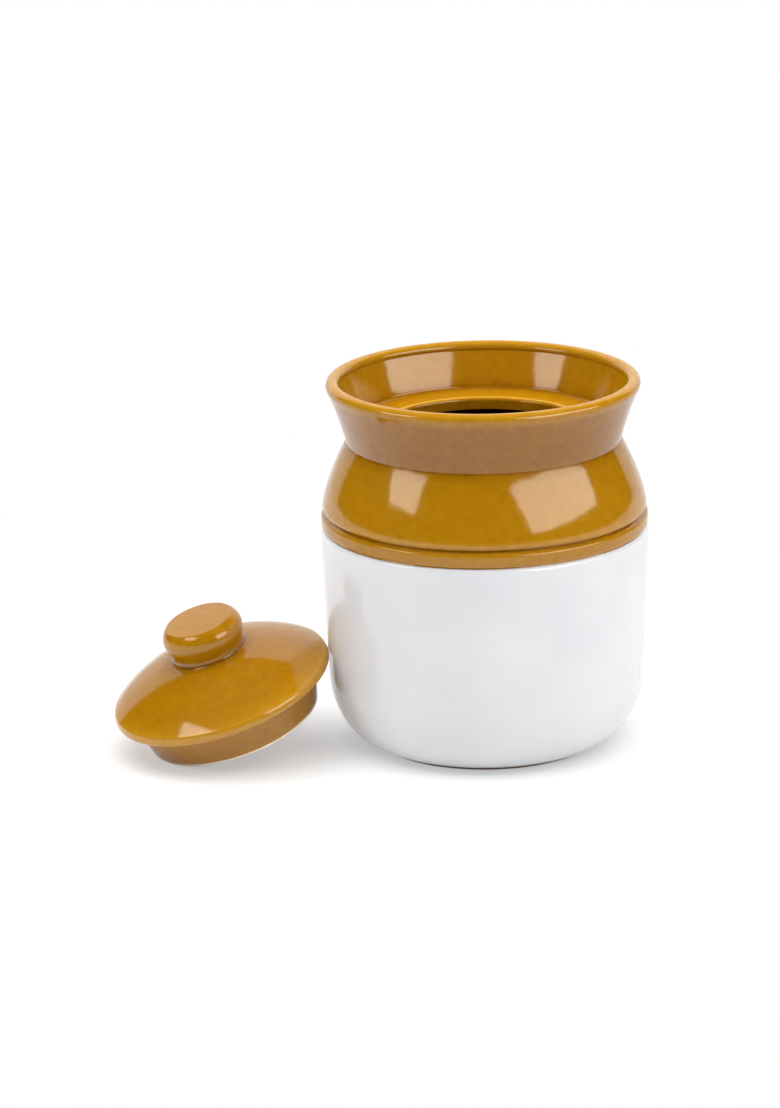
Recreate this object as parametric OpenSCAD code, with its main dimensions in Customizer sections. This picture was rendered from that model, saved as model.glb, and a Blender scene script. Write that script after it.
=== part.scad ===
// Water seal pickle jar: a glazed stoneware jar with a flared water collar, and its lid.
// The jar stands at the origin with its foot on the plane z = 0.
// The lid stands beside it, leaning with its edge against the jar's wall.
// All sizes are in millimetres.

/* [Jar body] */
// Widest diameter of the jar, at the top of the white wall
belly_d = 150.4; // [149:0.1:152]
// Diameter where the rounded heel turns into the straight wall
heel_d = 145.2; // [143:0.1:147]
// Height of the top of the rounded heel
heel_z = 30; // [24:0.5:36]
// Outer diameter of the foot ring
foot_d = 106; // [100:1:112]
// Width of the foot ring's standing face
foot_w = 8; // [5:0.5:10]
// Height of the bare foot ring
foot_h = 1.2; // [1:0.1:1.5]
// Thickness of the jar's wall
wall_t = 5.5; // [4.5:0.1:6]
// Thickness of the jar's floor
floor_t = 6; // [5:0.5:8]

/* [Girth] */
// Height of the line where the white glaze ends
notch_z = 101.2; // [99:0.2:103]
// Depth of the notch below the bead
notch_depth = 1.5; // [0.8:0.1:1.8]
// Height of the groove above the bead
groove_z = 109.2; // [108:0.2:110]
// Depth of the groove above the bead
groove_depth = 1.9; // [0.8:0.1:2.2]
// Diameter of the bead and of the shoulder's lower edge
bead_d = 149.6; // [149:0.1:151]

/* [Collar] */
// Diameter of the waist between the shoulder and the collar
waist_d = 125.4; // [124:0.2:127]
// Height of the waist
waist_z = 141.8; // [140:0.2:143]
// Outer diameter of the rolled rim
rim_d = 143; // [141:0.5:145]
// Thickness of the rolled rim
rim_t = 6.2; // [5:0.1:7]
// Overall height of the jar
jar_h = 170.6; // [168:0.2:173]

/* [Gallery] */
// Height of the ledge that the lid rests on
ledge_z = 149; // [148:0.2:150]
// Outer diameter of the ledge, where the collar's inner wall starts
ledge_d = 120.4; // [119:0.2:121]
// Diameter of the mouth
mouth_d = 90.2; // [89.5:0.1:91]
// Radius of the mouth's rounded upper edge
mouth_round = 1.8; // [1:0.1:2]

/* [Lid] */
// Diameter of the lid
lid_d = 103.2; // [102:0.2:106]
// Thickness of the lid's rounded edge
lid_edge_t = 3.8; // [3:0.1:4.5]
// Height of the dome where the knob stands, above the lid's underside
dome_h = 20; // [18:0.2:22]
// Thickness of the dome's shell
dome_t = 5.2; // [4.5:0.1:6]
// Outer diameter of the skirt at its root
skirt_d = 89.2; // [87:0.2:89.4]
// Outer diameter of the skirt at its lower edge
skirt_tip_d = 81; // [80:0.2:84]
// Depth of the skirt below the lid's underside
skirt_h = 17.6; // [14:0.2:18]
// Thickness of the skirt
skirt_t = 4.4; // [3.5:0.1:5]

/* [Knob] */
// Diameter of the knob's foot, where it joins the dome
knob_foot_d = 35.6; // [34:0.2:37]
// Diameter of the pinched neck
knob_neck_d = 33.8; // [32:0.2:35]
// Widest diameter of the knob
knob_d = 38.2; // [36:0.2:40]
// Height of the knob above the dome
knob_h = 16.4; // [14:0.2:18]

/* [Leaning lid] */
// Angle that the lid leans away from level
lean_tilt = 18.2; // [17:0.1:19]
// Turn of the lean about the upright, towards the jar's front
lean_turn = 28; // [26:0.1:32]
// Distance of the lid's middle from the jar's axis, to the left
lean_left = 121.7; // [121.7:0.1:130]
// Distance of the lid's middle in front of the jar's axis
lean_front = 14.4; // [10:0.2:16]

/* [Hidden] */
$fn = 96;

ochre = "#B87C14";
dark_ochre = "#9A6410";
pale_ochre = "#CC9430";
white_glaze = "#E6E8EA";
soft_white = "#DDE0E3";
bare_clay = "#B0927A";

// Steps along each curved stretch of an outline
curve_steps = 20;
// Steps along each small rounding
round_steps = 8;

belly_r = belly_d / 2;
heel_r = heel_d / 2;
foot_r = foot_d / 2;
bead_r = bead_d / 2;
waist_r = waist_d / 2;
ledge_r = ledge_d / 2;
mouth_r = mouth_d / 2;
lid_r = lid_d / 2;

foot_bevel = 0.4;
// The outer outline: the heel's curve bulges out and down between the foot and the wall
heel_low_pull = [10.4, 1.6];
heel_high_pull = [0.9, 14.2];
// The wall runs on from the heel without a corner, and turns in to the notch from here
wall_pull = [1.2, 20];
wall_turn_z = notch_z - 4.6;
wall_turn_pull = 4;
notch_r = belly_r - notch_depth;
groove_r = bead_r - groove_depth;
// The bead's two small rounds, each with its height from the notch or the groove
bead_round = 1.9;
bead_low = [bead_r - bead_round, notch_z + 2.1];
bead_high = [bead_r - bead_round, groove_z - 2.8];
bead_low_angle = -70;
bead_high_angle = 60;
// The shoulder leaves the groove as a rounded lip and closes in to the waist
lip_rise = 2.2;
lip_pull = 0.5;
lip_r = bead_r - 0.7;
shoulder_low_pull = [0.8, 8];
shoulder_high_pull = [4.8, 8.6];

// The rim is a roll of clay; the collar's outer and inner faces run into its sides
rim_r = rim_t / 2;
rim_centre = [rim_d / 2 - rim_r, jar_h - rim_r];
collar_top_z = rim_centre[1];
collar_pull = [4, 15.4];
collar_inner_pull = [2.2, 9];

// The inner outline: the wall's thickness inside the outer one, and thicker at the heel and neck
floor_z = foot_h + floor_t;
inner_heel_r = heel_r - wall_t;
inner_heel_pull = [1, 7];
inner_floor_r = foot_r - 6;
inner_floor_pull = [10, 5.3];
inner_wall_r = belly_r - wall_t;
inner_notch_r = inner_wall_r - 0.4;
inner_girth_r = groove_r - wall_t + 0.6;
inner_girth_pull = [1.4, 9.8];
inner_neck_r = waist_r - wall_t - 2.2;
inner_neck_pull = [4.5, 10.3];

// The ledge hangs inward from the shoulder's top, thinner towards the mouth
ledge_root_z = waist_z;
ledge_lip_z = ledge_z - 5.6;
ledge_neck_r = mouth_r + 6;

// The lid's rounded edge turns through this angle above its widest ring, and the dome runs on from it,
// flatter towards the knob
edge_r = lid_edge_t / 2;
edge_turn = 51;
dome_low_pull = [9.6, 7.8];
dome_high_pull = [9.6, 2.2];
dome_seat_r = 18.4;
skirt_root_r = skirt_d / 2;
skirt_tip_r = skirt_tip_d / 2;
skirt_root_in = skirt_root_r - skirt_t;
skirt_tip_in = skirt_tip_r - skirt_t + 0.6;
skirt_round = 1;
// Fillet between the skirt and the dome's underside
skirt_fillet = 0.8;
skirt_fillet_h = 2;
dome_under_h = dome_h - dome_t;
dome_under_r = 15;
dome_under_pull = [4.8, 2.4];
// The knob's side swells from the neck to its widest ring, and its crown closes nearly flat
knob_r = knob_d / 2;
knob_wide_h = 10.6;
knob_neck_h = 2.2;
knob_side_pull = [0.4, 3];
knob_crown_r = 11;
knob_crown_drop = 0.5;
knob_crown_pull = 0.9;

// Points along a curve with two and with one pulled point between its ends
function curve(a, b, c, d, n = curve_steps) =
    [for (i = [0:n]) let (t = i / n, s = 1 - t) s * s * s * a + 3 * s * s * t * b + 3 * s * t * t * c + t * t * t * d];
function bend(a, b, c, n = curve_steps) =
    [for (i = [0:n]) let (t = i / n, s = 1 - t) s * s * a + 2 * s * t * b + t * t * c];
// Points along an arc about a centre, from one angle to another
function arc(centre, r, from, to, n = round_steps) =
    [for (i = [0:n]) let (w = from + (to - from) * i / n) centre + r * [cos(w), sin(w)]];

function heel_outer() =
    curve([foot_r, foot_h], [foot_r, foot_h] + heel_low_pull, [heel_r, heel_z] - heel_high_pull, [heel_r, heel_z]);
function heel_inner() =
    curve([inner_heel_r, heel_z], [inner_heel_r, heel_z] - inner_heel_pull, [inner_floor_r, floor_z] + inner_floor_pull,
          [inner_floor_r, floor_z]);
function shoulder_outer() =
    curve([lip_r, groove_z + lip_rise], [lip_r, groove_z + lip_rise] + [-shoulder_low_pull[0], shoulder_low_pull[1]],
          [waist_r, waist_z] + [shoulder_high_pull[0], -shoulder_high_pull[1]], [waist_r, waist_z]);
function shoulder_inner() =
    curve([inner_neck_r, waist_z], [inner_neck_r + inner_neck_pull[0], waist_z - inner_neck_pull[1]],
          [inner_girth_r - inner_girth_pull[0], groove_z + inner_girth_pull[1]], [inner_girth_r, groove_z]);
function collar_outer() =
    bend([waist_r, waist_z], [waist_r, waist_z] + collar_pull, [rim_centre[0] + rim_r, collar_top_z]);
function collar_inner() =
    bend([rim_centre[0] - rim_r, collar_top_z], [ledge_r, ledge_z] + collar_inner_pull, [ledge_r, ledge_z]);
function dome_outer() =
    let (start = [lid_r - edge_r, edge_r] + edge_r * [cos(edge_turn), sin(edge_turn)])
    curve(start, start + [-dome_low_pull[0], dome_low_pull[1]],
          [dome_seat_r, dome_h] + [dome_high_pull[0], -dome_high_pull[1]], [dome_seat_r, dome_h]);
function dome_inner() =
    bend([dome_under_r, dome_under_h], [skirt_root_in, dome_under_h] - dome_under_pull, [skirt_root_in, 0]);

// A ring or a disc turned from its half outline
module turned(outline) {
    rotate_extrude() polygon(outline);
}

// Carries a piece of the lid from its own level frame to where the lid leans, resting on its skirt's rounded edge
module leaning() {
    lift = (skirt_tip_r - skirt_round) * sin(lean_tilt) + (skirt_h - skirt_round) * cos(lean_tilt) + skirt_round;
    translate([-lean_left, -lean_front, lift]) rotate([0, 0, lean_turn]) rotate([0, -lean_tilt, 0]) children();
}

// Bare ring that the jar stands on; the floor inside it is lifted clear
module foot_ring() {
    color(bare_clay) turned([[foot_r - foot_w, 0], [foot_r - foot_bevel, 0], [foot_r, foot_bevel], [foot_r, foot_h],
                             [foot_r - foot_w, foot_h]]);
}

// Floor and rounded heel
module jar_base() {
    color(soft_white) turned(concat([[0, foot_h]], heel_outer(), heel_inner(), [[0, floor_z]]));
}

// Nearly straight wall, which widens a little upwards and turns in at the notch
module jar_wall() {
    rise = bend([heel_r, heel_z], [heel_r, heel_z] + wall_pull, [belly_r, wall_turn_z]);
    turn = bend([belly_r, wall_turn_z], [belly_r, wall_turn_z + wall_turn_pull], [notch_r, notch_z], round_steps);
    inner = [[inner_notch_r, notch_z], [inner_notch_r, wall_turn_z], [inner_heel_r, heel_z]];
    color(white_glaze) turned(concat(rise, [for (i = [1:round_steps]) turn[i]], inner));
}

// Half-round band between the notch and the groove
module girth_bead() {
    low = arc(bead_low, bead_round, bead_low_angle, 0);
    high = arc(bead_high, bead_round, 0, bead_high_angle);
    inner = [[inner_girth_r, groove_z], [inner_notch_r, notch_z]];
    color(dark_ochre) turned(concat([[notch_r, notch_z]], low, high, [[groove_r, groove_z]], inner));
}

// Domed shoulder from the groove to the waist
module shoulder() {
    lip = bend([groove_r, groove_z], [lip_r, groove_z + lip_pull], [lip_r, groove_z + lip_rise], round_steps);
    color(ochre) turned(concat(lip, shoulder_outer(), shoulder_inner()));
}

// Ledge that carries the lid, with the mouth through it
module gallery_ledge() {
    edge = arc([mouth_r + mouth_round, ledge_z - mouth_round], mouth_round, 90, 180);
    under = [[mouth_r, ledge_lip_z], [ledge_neck_r, ledge_lip_z], [inner_neck_r, ledge_root_z]];
    color(pale_ochre) turned(concat([[ledge_r, ledge_root_z], [ledge_r, ledge_z]], edge, under));
}

// Flared wall that holds the water
module collar() {
    color(ochre) turned(concat(collar_outer(), collar_inner(), [[ledge_r, ledge_root_z]]));
}

// Rolled rim, the upper half of the roll
module collar_rim() {
    color(pale_ochre) turned(arc(rim_centre, rim_r, 0, 180, 2 * round_steps));
}

// Dome with its rounded edge, hollow underneath
module lid_dome() {
    edge = arc([lid_r - edge_r, edge_r], edge_r, -90, edge_turn, 2 * round_steps);
    color(ochre) leaning() turned(concat(edge, dome_outer(), [[0, dome_h], [0, dome_under_h]], dome_inner()));
}

// Skirt that drops into the mouth
module lid_skirt() {
    fillet = bend([skirt_root_r + skirt_fillet, 0], [skirt_root_r, 0], [skirt_root_r, -skirt_fillet_h], round_steps);
    tip = arc([skirt_tip_r - skirt_round, skirt_round - skirt_h], skirt_round, 0, -90);
    color(dark_ochre) leaning() turned(concat(fillet, tip, [[skirt_tip_in, -skirt_h], [skirt_root_in, 0]]));
}

// Knob with a pinched neck and a flattened top
module lid_knob() {
    foot = [knob_foot_d / 2, dome_h];
    neck = [knob_neck_d / 2, dome_h + knob_neck_h];
    wide = [knob_r, dome_h + knob_wide_h];
    top = [0, dome_h + knob_h];
    side = bend(neck, [neck[0] + knob_side_pull[0], wide[1] - knob_side_pull[1]], wide, round_steps);
    crown = bend(wide, [knob_r, top[1] - knob_crown_pull], [knob_crown_r, top[1] - knob_crown_drop], 2 * round_steps);
    color(pale_ochre) leaning() turned(concat([[0, dome_h], foot], side, crown, [top]));
}

foot_ring();
jar_base();
jar_wall();
girth_bead();
shoulder();
gallery_ledge();
collar();
collar_rim();
lid_dome();
lid_skirt();
lid_knob();
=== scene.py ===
# Glazed stoneware pickle jar with a water collar, its lid leaning against it, on a white studio floor.
# Outlines are in millimetres from the axis and from the floor, and become metres when they are turned.

import math

import bmesh
import bpy
from mathutils import Matrix, Vector


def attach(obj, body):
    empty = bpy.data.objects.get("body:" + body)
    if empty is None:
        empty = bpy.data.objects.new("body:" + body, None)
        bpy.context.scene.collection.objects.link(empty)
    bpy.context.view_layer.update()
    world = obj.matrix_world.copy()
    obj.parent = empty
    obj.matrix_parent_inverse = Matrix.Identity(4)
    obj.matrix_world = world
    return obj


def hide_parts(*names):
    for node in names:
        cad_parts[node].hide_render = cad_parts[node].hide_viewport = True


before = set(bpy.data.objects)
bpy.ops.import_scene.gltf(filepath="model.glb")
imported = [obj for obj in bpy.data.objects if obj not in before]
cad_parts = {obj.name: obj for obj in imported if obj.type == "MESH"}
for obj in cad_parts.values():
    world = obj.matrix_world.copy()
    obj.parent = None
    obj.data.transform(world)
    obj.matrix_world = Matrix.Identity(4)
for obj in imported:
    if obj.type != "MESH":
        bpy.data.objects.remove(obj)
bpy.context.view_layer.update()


# Camera
# A long lens 1.9 m in front of the jar and 0.6 m up, looking down at it by 16.6 degrees.
# It is rolled by a degree, so the jar leans a little in the picture.
camera = bpy.data.objects.new("studio_camera", bpy.data.cameras.new("studio_camera"))
bpy.context.scene.collection.objects.link(camera)
bpy.context.scene.camera = camera
camera.data.lens = 130.58
camera.data.clip_end = 50
camera_place = Matrix.Translation((-0.0436, -1.7693, 0.6162))
camera_pitch = Matrix.Rotation(math.radians(73.352), 4, "X")
camera_roll = Matrix.Rotation(math.radians(-1.1), 4, "Z")
camera.matrix_world = camera_place @ camera_pitch @ camera_roll


# Foot ring
# The bare ring that the jar stands on, wiped clean of glaze so that it doesn't stick to the kiln shelf.
# It is reduction-fired stoneware: buff to brown, with iron specks and a sandy, matt surface.
def turned(name, outer, inner=(), placed=Matrix(), sides=192):
    """A closed outline of (radius, height) points in millimetres, turned about the axis and then placed.

    The faces along its inner points take the second material."""
    mesh = bmesh.new()
    outline = list(outer) + list(inner)
    rings = []
    for radius, height in outline:
        if radius < 0.001:
            rings.append([mesh.verts.new((0, 0, height / 1000))] * sides)
            continue
        turns = [2 * math.pi * k / sides for k in range(sides)]
        ring = [(radius * math.cos(a) / 1000, radius * math.sin(a) / 1000, height / 1000) for a in turns]
        rings.append([mesh.verts.new(place) for place in ring])
    for i, ring in enumerate(rings):
        following = rings[(i + 1) % len(rings)]
        for k in range(sides):
            corners = dict.fromkeys((ring[k - 1], ring[k], following[k], following[k - 1]))
            if len(corners) > 2:
                face = mesh.faces.new(corners)
                face.material_index = int(len(outer) <= i < len(rings) - 1)
    bmesh.ops.transform(mesh, matrix=placed, verts=mesh.verts)
    bmesh.ops.recalc_face_normals(mesh, faces=mesh.faces)
    for face in mesh.faces:
        face.smooth = True
    for edge in mesh.edges:
        edge.smooth = edge.calc_face_angle(0) < math.radians(32)
    data = bpy.data.meshes.new(name)
    mesh.to_mesh(data)
    mesh.free()
    piece = bpy.data.objects.new(name, data)
    bpy.context.scene.collection.objects.link(piece)
    return piece


def linear(colour):
    """An sRGB hex colour as the linear red, green, blue and alpha that a socket takes."""
    parts = [int(colour[k:k + 2], 16) / 255 for k in (1, 3, 5)]
    return [c / 12.92 if c <= 0.04045 else ((c + 0.055) / 1.055) ** 2.4 for c in parts] + [1]


def add(tree, kind, links=(), **settings):
    """Adds a node: settings are its own properties, and links are (input, value or output socket) pairs."""
    node = tree.nodes.new("ShaderNode" + kind)
    for name, value in settings.items():
        setattr(node, name, value)
    for name, value in links:
        if isinstance(value, bpy.types.NodeSocket):
            tree.links.new(value, node.inputs[name])
        else:
            node.inputs[name].default_value = value
    return node


def ramp(tree, factor, stops):
    """A colour ramp through (position, colour) stops."""
    node = add(tree, "ValToRGB", [("Fac", factor)])
    points = node.color_ramp.elements
    while len(points) < len(stops):
        points.new(0.5)
    for point, (position, colour) in zip(points, stops):
        point.position = position
        point.color = colour
    return node.outputs["Color"]


def surface(name, placed=Matrix()):
    """A new material with its node tree, its shader, and the coordinates that a piece had before it was placed."""
    material = bpy.data.materials.new(name)
    material.use_nodes = True
    tree = material.node_tree
    settings = [("Vector", add(tree, "TexCoord").outputs["Object"]), ("Location", placed.to_translation()),
                ("Rotation", placed.to_euler())]
    place = add(tree, "Mapping", settings, vector_type="TEXTURE").outputs["Vector"]
    return material, tree, tree.nodes["Principled BSDF"], place


# Bare stoneware: matt and slightly open, so no highlight; grog grains about 0.6 mm, iron specks 2 mm apart
bare_stoneware, tree, shader, place = surface("bare_stoneware")
grog = add(tree, "TexNoise", [("Vector", place), ("Scale", 1600), ("Detail", 4), ("Roughness", 0.6)])
toast = add(tree, "TexNoise", [("Vector", place), ("Scale", 60), ("Detail", 3)])
clay = ramp(tree, grog.outputs["Fac"], [(0.3, linear("#96785C")), (0.55, linear("#B8987A")), (0.8, linear("#D8BE9E"))])
specks = add(tree, "TexVoronoi", [("Vector", place), ("Scale", 500)])
speck = ramp(tree, specks.outputs["Distance"], [(0.1, linear("#2E1C10")), (0.2, linear("#FFFFFF"))])
flashed = add(tree, "MixRGB", [("Fac", toast.outputs["Fac"]), ("Color1", clay), ("Color2", linear("#A47C58"))])
speckled = add(tree, "MixRGB", [("Fac", 0.5), ("Color1", flashed.outputs[0]), ("Color2", speck)], blend_type="MULTIPLY")
grain = add(tree, "Bump", [("Strength", 0.6), ("Distance", 0.0002), ("Height", grog.outputs["Fac"])])
tree.links.new(speckled.outputs[0], shader.inputs["Base Color"])
tree.links.new(grain.outputs["Normal"], shader.inputs["Normal"])
shader.inputs["Roughness"].default_value = 0.85
shader.inputs["IOR"].default_value = 1.5

foot = turned("foot_ring_clay", [(45, 0), (52.6, 0), (53, 0.4), (53, 1.2), (45, 1.2)])
foot.data.materials.append(bare_stoneware)
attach(foot, "jar")
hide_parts("foot_ring")


# Base
# The jar's floor and its rounded heel, thrown thick so that the jar stands firmly.
# Outside it has the opaque white glaze; inside it has the brown one, which was poured in and out.
def curve(*pulls, steps=28):
    """Points along a Bezier curve, closest at its ends so that it runs into its neighbour without a crease."""
    line = []
    for i in range(steps + 1):
        share = 0.5 - 0.5 * math.cos(math.pi * i / steps)
        points = [Vector(pull) for pull in pulls]
        while len(points) > 1:
            points = [a.lerp(b, share) for a, b in zip(points, points[1:])]
        line.append(tuple(points[0]))
    return line


def glaze_relief(tree, place, shader):
    """A fired glaze's skin: waves about 9 mm long from the running glaze, and a fine peel about 1.5 mm across."""
    waves = add(tree, "TexNoise", [("Vector", place), ("Scale", 110), ("Detail", 2)])
    peel = add(tree, "TexNoise", [("Vector", place), ("Scale", 700), ("Detail", 1)])
    low = add(tree, "Bump", [("Strength", 1), ("Distance", 0.0001), ("Height", waves.outputs["Fac"])])
    high = add(tree, "Bump", [("Strength", 1), ("Distance", 0.000012), ("Height", peel.outputs["Fac"]),
                              ("Normal", low.outputs["Normal"])])
    tree.links.new(high.outputs["Normal"], shader.inputs["Normal"])


# Opaque white glaze: cool and even, with a mirror-like skin; faint clouds 40 mm wide show where it lies thinner
white_glaze, tree, shader, place = surface("white_glaze")
clouds = add(tree, "TexNoise", [("Vector", place), ("Scale", 25), ("Detail", 3)])
white = ramp(tree, clouds.outputs["Fac"], [(0.3, linear("#E1E2E5")), (0.7, linear("#E7E8EA"))])
pinholes = add(tree, "TexVoronoi", [("Vector", place), ("Scale", 140)])
pinhole = ramp(tree, pinholes.outputs["Distance"], [(0.02, linear("#B8A890")), (0.05, linear("#FFFFFF"))])
spotted = add(tree, "MixRGB", [("Fac", 0.35), ("Color1", white), ("Color2", pinhole)], blend_type="MULTIPLY")
tree.links.new(spotted.outputs[0], shader.inputs["Base Color"])
shader.inputs["Roughness"].default_value = 0.1
shader.inputs["IOR"].default_value = 1.52
glaze_relief(tree, place, shader)

# Brown inside glaze: thin, dark and glossy over the stoneware, streaked by the pouring
brown_glaze, tree, shader, place = surface("brown_inside_glaze")
streaks = add(tree, "TexNoise", [("Vector", place), ("Scale", 60), ("Detail", 4)])
brown = ramp(tree, streaks.outputs["Fac"], [(0.3, linear("#3A1E08")), (0.7, linear("#5E360E"))])
tree.links.new(brown, shader.inputs["Base Color"])
shader.inputs["Roughness"].default_value = 0.12
shader.inputs["IOR"].default_value = 1.55
glaze_relief(tree, place, shader)


heel = curve((53, 1.2), (63.4, 2.8), (71.7, 15.8), (72.6, 30))
heel_inside = curve((67.1, 30), (66.1, 23), (57, 12.5), (47, 7.2))
base = turned("jar_base_glazed", [(0, 1.2)] + heel, heel_inside + [(0, 7.2)])
base.data.materials.append(white_glaze)
base.data.materials.append(brown_glaze)
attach(base, "jar")
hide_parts("jar_base")


# Wall
# The nearly straight wall, thrown and then turned, which widens a little upwards to the notch below the bead.
# The white glaze ends in the notch, where it meets the ochre one.
wall_rise = curve((72.6, 30), (73.8, 50), (75.2, 96.6), steps=40)
wall_turn = curve((75.2, 96.6), (75.2, 100.6), (73.7, 101.2), steps=16)
wall_inside = [(69.3, 101.2), (69.3, 96.6), (67.1, 30)]
wall = turned("jar_wall_glazed", wall_rise + wall_turn[1:], wall_inside)
wall.data.materials.append(white_glaze)
wall.data.materials.append(brown_glaze)
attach(wall, "jar")
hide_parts("jar_wall")


# Girth bead
# A half-round band raised on the wheel, with a groove above and below it.
# The ochre glaze starts here: it runs thin over the bead's crest and gathers in both grooves.
def arc(centre, radius, start, end, steps=12):
    """Points along an arc about a centre, from one angle to another in degrees."""
    angles = [math.radians(start + (end - start) * k / steps) for k in range(steps + 1)]
    return [(centre[0] + radius * math.cos(a), centre[1] + radius * math.sin(a)) for a in angles]


def ochre_glaze(name, along, depths, placed=Matrix()):
    """Iron ochre glaze. depths are (millimetres, depth) pairs along its height or its radius: 0 is thin, 1 a pool; on
    the ledge and the collar's outside they also give painted shade and a painted highlight.
    """
    material, tree, shader, place = surface(name, placed)
    axes = add(tree, "SeparateXYZ", [("Vector", place)])
    if along == "height":
        distance = axes.outputs["Z"]
    else:
        flat = add(tree, "CombineXYZ", [("X", axes.outputs["X"]), ("Y", axes.outputs["Y"])])
        distance = add(tree, "VectorMath", [(0, flat.outputs["Vector"])], operation="LENGTH").outputs["Value"]
    start, end = depths[0][0], depths[-1][0]
    runs = add(tree, "TexNoise", [("Vector", place), ("Scale", 90), ("Detail", 3)])
    wander = add(tree, "Math", [(0, runs.outputs["Fac"]), (1, 0.0012), (2, -0.0006)], operation="MULTIPLY_ADD")
    edge = add(tree, "Math", [(0, distance), (1, wander.outputs[0])])
    share = add(tree, "MapRange", [("Value", edge.outputs[0]), ("From Min", start / 1000), ("From Max", end / 1000)])
    stops = [((mm - start) / (end - start), [depth, depth, depth, 1]) for mm, depth in depths]
    depth = ramp(tree, share.outputs["Result"], stops)
    mottle = add(tree, "TexNoise", [("Vector", place), ("Scale", 260), ("Detail", 5), ("Roughness", 0.65)])
    uneven = add(tree, "Math", [(0, mottle.outputs["Fac"]), (1, 0.3), (2, -0.15)], operation="MULTIPLY_ADD")
    laid = add(tree, "Math", [(0, depth), (1, uneven.outputs[0])], use_clamp=True)
    colours = [(0, "#D6AC5C"), (0.25, "#C89224"), (0.5, "#B07A08"), (0.75, "#956006"), (1, "#5C3206")]
    ochre = ramp(tree, laid.outputs[0], [(position, linear(colour)) for position, colour in colours])
    specks = add(tree, "TexVoronoi", [("Vector", place), ("Scale", 330)])
    speck = ramp(tree, specks.outputs["Distance"], [(0.03, linear("#5A3208")), (0.09, linear("#FFFFFF"))])
    rusted = add(tree, "MixRGB", [("Fac", 0.5), ("Color1", ochre), ("Color2", speck)], blend_type="MULTIPLY")
    tree.links.new(rusted.outputs[0], shader.inputs["Base Color"])
    shader.inputs["Roughness"].default_value = 0.1
    shader.inputs["IOR"].default_value = 1.58
    glaze_relief(tree, place, shader)
    return material


bead_low = arc((72.9, 103.3), 1.9, -70, 0)
bead_high = arc((72.9, 106.4), 1.9, 0, 60)
bead_inside = [(68, 109.2), (69.3, 101.2)]
bead = turned("girth_bead_glazed", [(73.7, 101.2)] + bead_low + bead_high + [(72.9, 109.2)], bead_inside)
bead_depths = [(101, 0.56), (102, 0.54), (104.5, 0.52), (107.2, 0.5), (108.4, 0.64), (109.4, 0.76)]
bead.data.materials.append(ochre_glaze("ochre_glaze_on_bead", "height", bead_depths))
bead.data.materials.append(brown_glaze)
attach(bead, "jar")
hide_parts("girth_bead")


# Shoulder
# The domed upper part of the jar, pulled in on the wheel from the groove to the waist.
# A rounded lip overhangs the groove, and the ochre glaze lies even and deep on the open curve.
lip = curve((72.9, 109.2), (74.1, 109.7), (74.1, 111.4), steps=12)
dome_out = curve((74.1, 111.4), (73.3, 119.4), (67.5, 133.2), (62.7, 141.8), steps=40)
dome_in = curve((55, 141.8), (59.5, 131.5), (66.6, 119), (68, 109.2))
shoulder = turned("shoulder_glazed", lip + dome_out[1:], dome_in)
shoulder_depths = [(109, 0.85), (110, 0.6), (111.4, 0.4), (114, 0.5), (137, 0.52), (140.6, 0.6), (142, 0.85)]
shoulder.data.materials.append(ochre_glaze("ochre_glaze_on_shoulder", "height", shoulder_depths))
shoulder.data.materials.append(brown_glaze)
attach(shoulder, "jar")
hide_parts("shoulder")


# Gallery ledge
# The flat ledge inside the collar that carries the lid, with the round mouth cut through it.
# The glaze is paler on the mouth's rounded edge, where it breaks thin and a highlight is painted. It is darker down the
# throat, which is painted shade, and darker where the ledge meets the collar.
mouth_edge = arc((46.9, 147.2), 1.8, 90, 180)
ledge_under = [(45.1, 143.4), (51.1, 143.4), (55, 141.8)]
ledge = turned("gallery_ledge_glazed", [(60.2, 141.8), (60.2, 149)] + mouth_edge + ledge_under)
# Darker inside 45.3 mm is painted shade in the throat. The pale step at 46.2 mm is a painted highlight on the mouth's
# edge, where the glaze also breaks thin.
ledge_depths = [(44.5, 0.9), (45.3, 0.6), (46.2, 0.2), (48, 0.46), (56, 0.5), (59, 0.56), (60.4, 0.72)]
ledge.data.materials.append(ochre_glaze("ochre_glaze_on_ledge", "radius", ledge_depths))
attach(ledge, "jar")
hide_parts("gallery_ledge")


# Collar
# The flared wall above the waist that holds the sealing water around the lid.
# Its faces run smoothly into the rolled rim, and a fillet of glaze fills its corner with the ledge.
collar_out = curve((62.7, 141.8), (66.7, 157.2), (71.21, 166.19), steps=32) + arc((68.4, 167.5), 3.1, -25, 0, 6)[1:]
collar_in = arc((68.4, 167.5), 3.1, 180, 197, 6) + curve((65.44, 166.59), (62.5, 158), (60.5, 151), steps=32)[1:]
corner = curve((60.5, 151), (60.2, 149), (58.4, 149), steps=10)
collar = turned("collar_glazed", collar_out, collar_in + corner[1:] + [(60.2, 149), (60.2, 141.8)])
# The outside is laid deeper and darker than the inside: painted shade on the outer face, which looks outwards and down.
outside_depths = [(62, 0.7), (64, 0.76), (67, 0.76), (70, 0.74), (71.4, 0.55), (72, 0.5)]
inside_depths = [(58, 0.6), (60.2, 0.74), (61, 0.58), (62, 0.5), (66, 0.5), (72, 0.45)]
collar.data.materials.append(ochre_glaze("ochre_glaze_outside_collar", "radius", outside_depths))
collar.data.materials.append(ochre_glaze("ochre_glaze_inside_collar", "radius", inside_depths))
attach(collar, "jar")
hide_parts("collar")


# Collar rim
# The roll of clay that strengthens the collar's edge, folded over and rounded with a wet sponge.
# The glaze runs off it in the kiln, so it breaks to a paler yellow on top.
rim = turned("collar_rim_glazed", arc((68.4, 167.5), 3.1, 0, 180, 32))
rim_depths = [(167, 0.5), (169, 0.44), (170.7, 0.42)]
rim.data.materials.append(ochre_glaze("ochre_glaze_on_rim", "height", rim_depths))
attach(rim, "jar")
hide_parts("collar_rim")


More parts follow.
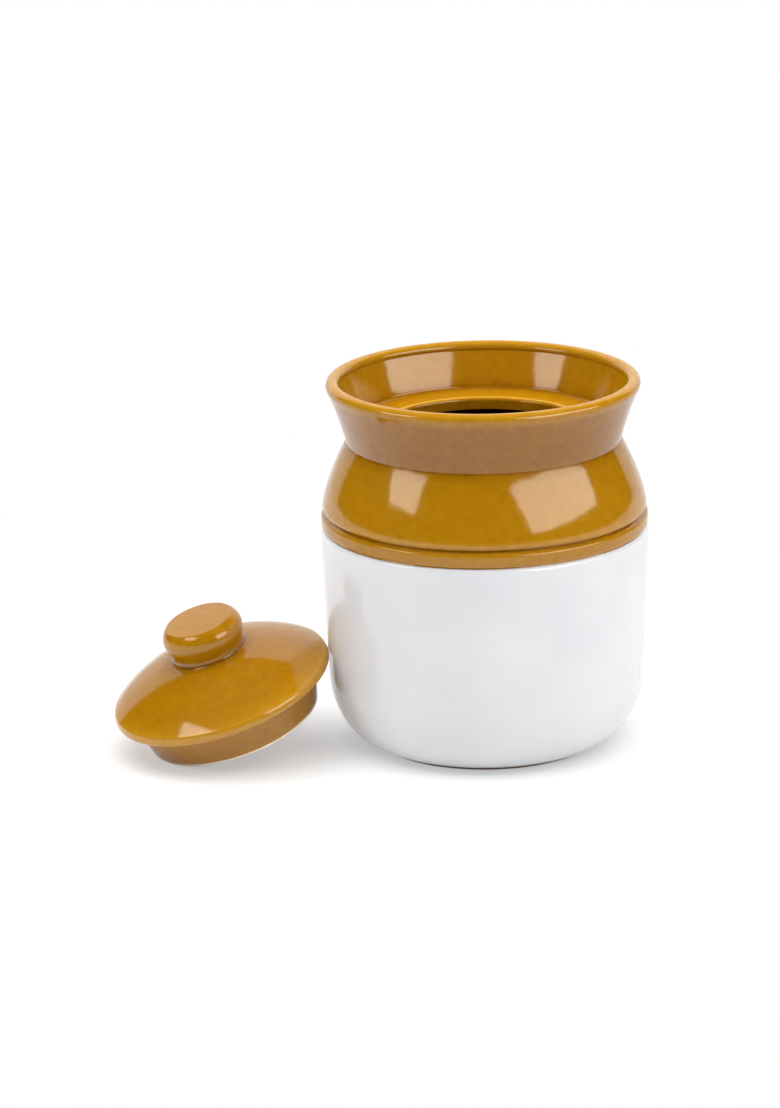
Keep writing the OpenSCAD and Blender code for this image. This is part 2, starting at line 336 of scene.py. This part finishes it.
# Lid dome
# The lid's low dome, thrown upside down and turned, with a thin rounded edge that rests on the ledge.
# The lid leans with its edge against the jar's wall, and stands on the lower edge of its skirt.
skirt_tip = Vector((39.5, -16.6))
lean = math.radians(18.2)
lift = skirt_tip.x * math.sin(lean) - skirt_tip.y * math.cos(lean) + 1
leaning = Matrix.Translation((-0.1217, -0.0144, lift / 1000))
leaning = leaning @ Matrix.Rotation(math.radians(28), 4, "Z") @ Matrix.Rotation(-lean, 4, "Y")

dome_edge = arc((50.4, 1.2), 1.2, -90, 0) + arc((45.6, 1.2), 6, 0, 25)[1:] + arc((49.23, 2.89), 2, 25, 50)[1:]
dome_top = curve(dome_edge[-1], (41.6, 11.9), (28, 17.8), (18.4, 20), steps=40)
dome_under = curve((15, 14.8), (35.4, 12.4), (40.2, 0))
dome = turned("lid_dome_glazed", dome_edge + dome_top[1:] + [(0, 20), (0, 14.8)] + dome_under, placed=leaning)
dome_depths = [(14, 0.66), (22, 0.62), (44, 0.6), (49, 0.5), (51.2, 0.36), (52, 0.4)]
dome.data.materials.append(ochre_glaze("ochre_glaze_on_dome", "radius", dome_depths, leaning))
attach(dome, "lid")
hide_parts("lid_dome")


# Lid skirt
# The ring under the dome that drops into the mouth and centres the lid.
# It is glazed down to its lower edge, which is wiped bare where it stood in the kiln.

# Wiped edge: the clay's own cream, because the flame reached the foot ring but not this; fine sand, matt
wiped_clay, tree, shader, place = surface("wiped_clay", leaning)
sand = add(tree, "TexNoise", [("Vector", place), ("Scale", 1600), ("Detail", 4), ("Roughness", 0.6)])
cream = ramp(tree, sand.outputs["Fac"], [(0.3, linear("#F0DEC0")), (0.7, linear("#FFF6E6"))])
tree.links.new(cream, shader.inputs["Base Color"])
shader.inputs["Roughness"].default_value = 0.8
shader.inputs["IOR"].default_value = 1.5

skirt_out = curve((45.4, 0), (44.6, 0), (44.6, -2), steps=12)
skirt_edge = arc(skirt_tip, 1, 0, -90, 8)
skirt_outer = [(36.7, -17.6), (40.2, 0)] + skirt_out + [(40.66, -16)]
skirt = turned("lid_skirt_glazed", skirt_outer, [(40.64, -16.1)] + skirt_edge, placed=leaning)
skirt_depths = [(-18, 0), (-16.9, 0.1), (-16, 0.5), (-13, 0.58), (-3, 0.58), (0, 0.9)]
skirt.data.materials.append(ochre_glaze("ochre_glaze_on_skirt", "height", skirt_depths, leaning))
skirt.data.materials.append(wiped_clay)
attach(skirt, "lid")
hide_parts("lid_skirt")


# Lid knob
# The knob that lifts the lid, thrown on the dome: a pinched neck, a swelling side and a nearly flat top.
# Glaze runs off its crown and gathers in a dark line around its foot.
knob_foot = curve((20.4, 19.45), (17.8, 20.1), (17, 20.4), (16.9, 22.6), steps=14)
knob_side = curve((16.9, 22.6), (17, 25.2), (18.9, 26.6), (18.9, 29.6), steps=24)
knob_crown = arc((10.9, 29.6), 8, 0, 52, 20) + arc((15.09, 34.96), 1.2, 52, 88)[1:]
knob_outline = [(0, 19.45)] + knob_foot + knob_side[1:] + knob_crown[1:] + [(0, 36.4)]
knob = turned("lid_knob_glazed", knob_outline, placed=leaning)
knob_depths = [(19, 0.6), (20.2, 0.64), (20.7, 0.88), (21.2, 0.84), (22, 0.62), (25, 0.56), (33, 0.52), (36.5, 0.6)]
knob.data.materials.append(ochre_glaze("ochre_glaze_on_knob", "height", knob_depths, leaning))
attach(knob, "lid")
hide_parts("lid_knob")


# Studio
# White paper lies under the jar and a white card stands behind it, in a dark room with a window on each side.
# To the camera and in reflections the paper turns plain white further out; near the jar it keeps the shadow.
def sheet(name, corners, material, to_camera=False):
    """A flat sheet of the studio, from its corners in metres."""
    data = bpy.data.meshes.new(name)
    data.from_pydata(corners, [], [tuple(range(len(corners)))])
    data.materials.append(material)
    piece = bpy.data.objects.new(name, data)
    bpy.context.scene.collection.objects.link(piece)
    piece.visible_camera = to_camera
    piece.visible_diffuse = material.name != "window_pane"


def towards(azimuth, elevation, distance):
    """A place seen from the jar at an azimuth from the camera's side and an elevation, both in degrees."""
    across, up = math.radians(azimuth), math.radians(elevation)
    away = Vector((math.sin(across) * math.cos(up), -math.cos(across) * math.cos(up), math.sin(up)))
    return away * distance + Vector((0, 0, 0.1))


paper, tree, shader, place = surface("white_paper")
shader.inputs["Base Color"].default_value = linear("#F6F6F6")
shader.inputs["Roughness"].default_value = 0.9
shader.inputs["Specular IOR Level"].default_value = 0
rays = add(tree, "LightPath")
seen = add(tree, "Math", [(0, rays.outputs["Is Camera Ray"]), (1, rays.outputs["Is Glossy Ray"])], use_clamp=True)
seen = add(tree, "Math", [(0, seen.outputs[0]), (1, rays.outputs["Is Transmission Ray"])], use_clamp=True)
between = add(tree, "VectorMath", [(0, place), (1, (0.075, 0, 0))], operation="ADD")
from_jar = add(tree, "VectorMath", [(0, between.outputs["Vector"])], operation="LENGTH")
spread = [("Value", from_jar.outputs["Value"]), ("From Min", 0.14), ("From Max", 0.42), ("To Min", 0.42)]
whiter = add(tree, "MapRange", spread, interpolation_type="SMOOTHSTEP")
share = add(tree, "Math", [(0, seen.outputs[0]), (1, whiter.outputs["Result"])], operation="MULTIPLY")
glow = add(tree, "Emission", [("Color", linear("#FFFFFF"))])
whole = add(tree, "MixShader", [("Fac", share.outputs[0]), (1, shader.outputs[0]), (2, glow.outputs[0])])
tree.links.new(whole.outputs[0], tree.nodes["Material Output"].inputs["Surface"])
sheet("studio_floor", [(-9, -9, 0), (9, -9, 0), (9, 9, 0), (-9, 9, 0)], paper, True)

card, tree, shader, place = surface("white_card")
shader.inputs["Base Color"].default_value = linear("#B8B8B8")
shader.inputs["Emission Color"].default_value = linear("#FFFFFF")
shader.inputs["Emission Strength"].default_value = 0.24
sheet("standing_card", [(-1.35, 1.15, 0), (1.35, 1.15, 0), (1.35, 1.15, 2), (-1.35, 1.15, 2)], card)

drape, tree, shader, place = surface("dark_drape")
shader.inputs["Base Color"].default_value = linear("#303030")
shader.inputs["Roughness"].default_value = 1
room = [(-3, -3), (3, -3), (3, 3), (-3, 3)]
for k, (near, far) in enumerate(zip(room, room[1:] + room[:1])):
    sheet("drape_%d" % (k + 1), [(*near, 0), (*far, 0), (*far, 3), (*near, 3)], drape)
sheet("ceiling", [(*corner, 3) for corner in room], drape)

pane, tree, shader, place = surface("window_pane")
shader.inputs["Base Color"].default_value = linear("#000000")
shader.inputs["Emission Color"].default_value = linear("#FFF8EC")
shader.inputs["Emission Strength"].default_value = 4.6
right_corners = [(20, 35), (89, 25), (87, 13), (33, 10)]
left_corners = [(-81, 29), (-48, 35), (-51, 20), (-72, 19)]
sheet("right_window", [towards(*corner, 1.2) for corner in right_corners], pane)
sheet("left_window", [towards(*corner, 0.5) for corner in left_corners], pane)

# The rest of the light comes from large soft boxes that are too dim and even to show as a reflection
for name, azimuth, elevation, size, energy in (("box_above", 0, 89, 2.6, 60), ("box_right", 62, 32, 1.4, 24),
                                               ("box_left", -75, 38, 1.4, 17)):
    box = bpy.data.lights.new(name, "AREA")
    box.size = size
    box.energy = energy
    lamp = bpy.data.objects.new(name, box)
    bpy.context.scene.collection.objects.link(lamp)
    lamp.location = towards(azimuth, elevation, 1.9)
    lamp.rotation_euler = (lamp.location - Vector((0, 0, 0.1))).to_track_quat("Z", "Y").to_euler()
    lamp.visible_glossy = False

world = bpy.data.worlds.new("studio_air")
bpy.context.scene.world = world
world.use_nodes = True
world.node_tree.nodes["Background"].inputs["Color"].default_value = linear("#FFFFFF")
bpy.context.scene.view_settings.view_transform = "Standard"
